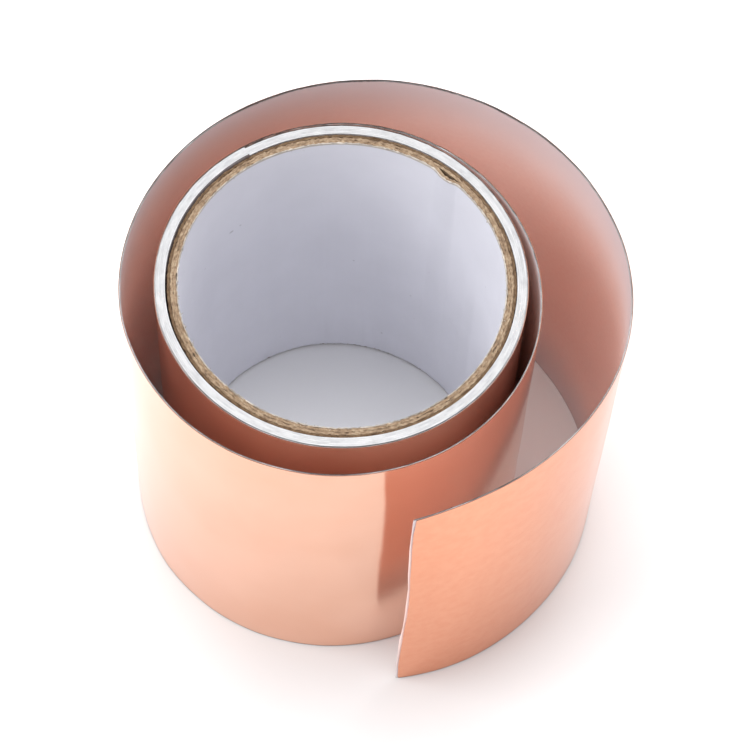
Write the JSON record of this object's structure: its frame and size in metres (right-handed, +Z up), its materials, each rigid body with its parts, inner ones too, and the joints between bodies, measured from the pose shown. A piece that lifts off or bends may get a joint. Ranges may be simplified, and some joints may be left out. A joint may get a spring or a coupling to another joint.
{
  "type": "copper foil tape roll",
  "caption": "Wide copper foil tape wound on a paper-lined kraft core, with one loose turn sprung open round the pack and a square-cut free end.",
  "frame": {"origin": "on the core's axis, level with the bottom edges that the roll stands on", "axes": "+Z up along the core's axis; +X to the side where the outer loop stands widest from the pack; -Y towards the cut end"},
  "size_m": [0.0596, 0.0576, 0.05],
  "materials": {
    "copper_foil": "bright rolled copper foil, satin mirror, lightly handled",
    "release_paper": "white silicone-coated release paper",
    "acrylic_adhesive": "clear acrylic adhesive",
    "kraft_board": "matt brown kraft board",
    "lining_paper": "smooth white lining paper"
  },
  "bodies": {
    "roll": {"core_lining_paper": "lining_paper", "core_inner_ply": "kraft_board", "core_middle_ply": "kraft_board", "core_outer_ply": "kraft_board", "wound_liner": "release_paper", "wound_adhesive": "acrylic_adhesive", "wound_foil": "copper_foil"},
    "tail_1": {"liner_length_1": "release_paper", "adhesive_length_1": "acrylic_adhesive", "foil_length_1": "copper_foil"},
    "tail_2": {"liner_length_2": "release_paper", "adhesive_length_2": "acrylic_adhesive", "foil_length_2": "copper_foil"},
    "tail_3": {"liner_length_3": "release_paper", "adhesive_length_3": "acrylic_adhesive", "foil_length_3": "copper_foil"},
    "tail_4": {"liner_length_4": "release_paper", "adhesive_length_4": "acrylic_adhesive", "foil_length_4": "copper_foil"},
    "tail_5": {"liner_length_5": "release_paper", "adhesive_length_5": "acrylic_adhesive", "foil_length_5": "copper_foil"},
    "tail_6": {"liner_length_6": "release_paper", "adhesive_length_6": "acrylic_adhesive", "foil_length_6": "copper_foil"},
    "tail_7": {"liner_length_7": "release_paper", "adhesive_length_7": "acrylic_adhesive", "foil_length_7": "copper_foil"},
    "tail_8": {"liner_length_8": "release_paper", "adhesive_length_8": "acrylic_adhesive", "foil_length_8": "copper_foil"},
    "tail_9": {"liner_length_9": "release_paper", "adhesive_length_9": "acrylic_adhesive", "foil_length_9": "copper_foil"},
    "liner_tab": {"liner_pull_tab": "release_paper"}
  },
  "joints": [
    {"name": "flex_1", "type": "hinge", "parent": "roll", "child": "tail_1", "pos_m": [0.01161, 0.01867, 0.025], "axis": [0, 0, 1], "range_deg": [-2, 44], "stiffness_Nm_per_rad": 0.004},
    {"name": "flex_2", "type": "hinge", "parent": "tail_1", "child": "tail_2", "pos_m": [0.02317, -0.00307, 0.025], "axis": [0, 0, 1], "range_deg": [-2, 44], "stiffness_Nm_per_rad": 0.004},
    {"name": "flex_3", "type": "hinge", "parent": "tail_2", "child": "tail_3", "pos_m": [0.00902, -0.02309, 0.025], "axis": [0, 0, 1], "range_deg": [-2, 44], "stiffness_Nm_per_rad": 0.004},
    {"name": "flex_4", "type": "hinge", "parent": "tail_3", "child": "tail_4", "pos_m": [-0.01556, -0.02018, 0.025], "axis": [0, 0, 1], "range_deg": [-2, 44], "stiffness_Nm_per_rad": 0.004},
    {"name": "flex_5", "type": "hinge", "parent": "tail_4", "child": "tail_5", "pos_m": [-0.02561, 0.00238, 0.025], "axis": [0, 0, 1], "range_deg": [-2, 44], "stiffness_Nm_per_rad": 0.004},
    {"name": "flex_6", "type": "hinge", "parent": "tail_5", "child": "tail_6", "pos_m": [-0.01246, 0.02362, 0.025], "axis": [0, 0, 1], "range_deg": [-2, 44], "stiffness_Nm_per_rad": 0.004},
    {"name": "flex_7", "type": "hinge", "parent": "tail_6", "child": "tail_7", "pos_m": [0.01236, 0.02711, 0.025], "axis": [0, 0, 1], "range_deg": [-2, 44], "stiffness_Nm_per_rad": 0.004},
    {"name": "flex_8", "type": "hinge", "parent": "tail_7", "child": "tail_8", "pos_m": [0.03127, 0.01067, 0.025], "axis": [0, 0, 1], "range_deg": [-2, 44], "stiffness_Nm_per_rad": 0.004},
    {"name": "flex_9", "type": "hinge", "parent": "tail_8", "child": "tail_9", "pos_m": [0.02997, -0.01416, 0.025], "axis": [0, 0, 1], "range_deg": [-2, 44], "stiffness_Nm_per_rad": 0.004},
    {"name": "liner_peel", "type": "hinge", "parent": "tail_9", "child": "liner_tab", "pos_m": [0.01633, -0.02669, 0.025], "axis": [0, 0, -1], "range_deg": [0, 35], "stiffness_Nm_per_rad": 0.0001}
  ],
  "couplings": [
    {"joint": "flex_2", "follows": "flex_1", "ratio": 1},
    {"joint": "flex_3", "follows": "flex_1", "ratio": 1},
    {"joint": "flex_4", "follows": "flex_1", "ratio": 1},
    {"joint": "flex_5", "follows": "flex_1", "ratio": 1},
    {"joint": "flex_6", "follows": "flex_1", "ratio": 1},
    {"joint": "flex_7", "follows": "flex_1", "ratio": 1},
    {"joint": "flex_8", "follows": "flex_1", "ratio": 1},
    {"joint": "flex_9", "follows": "flex_1", "ratio": 1}
  ]
}
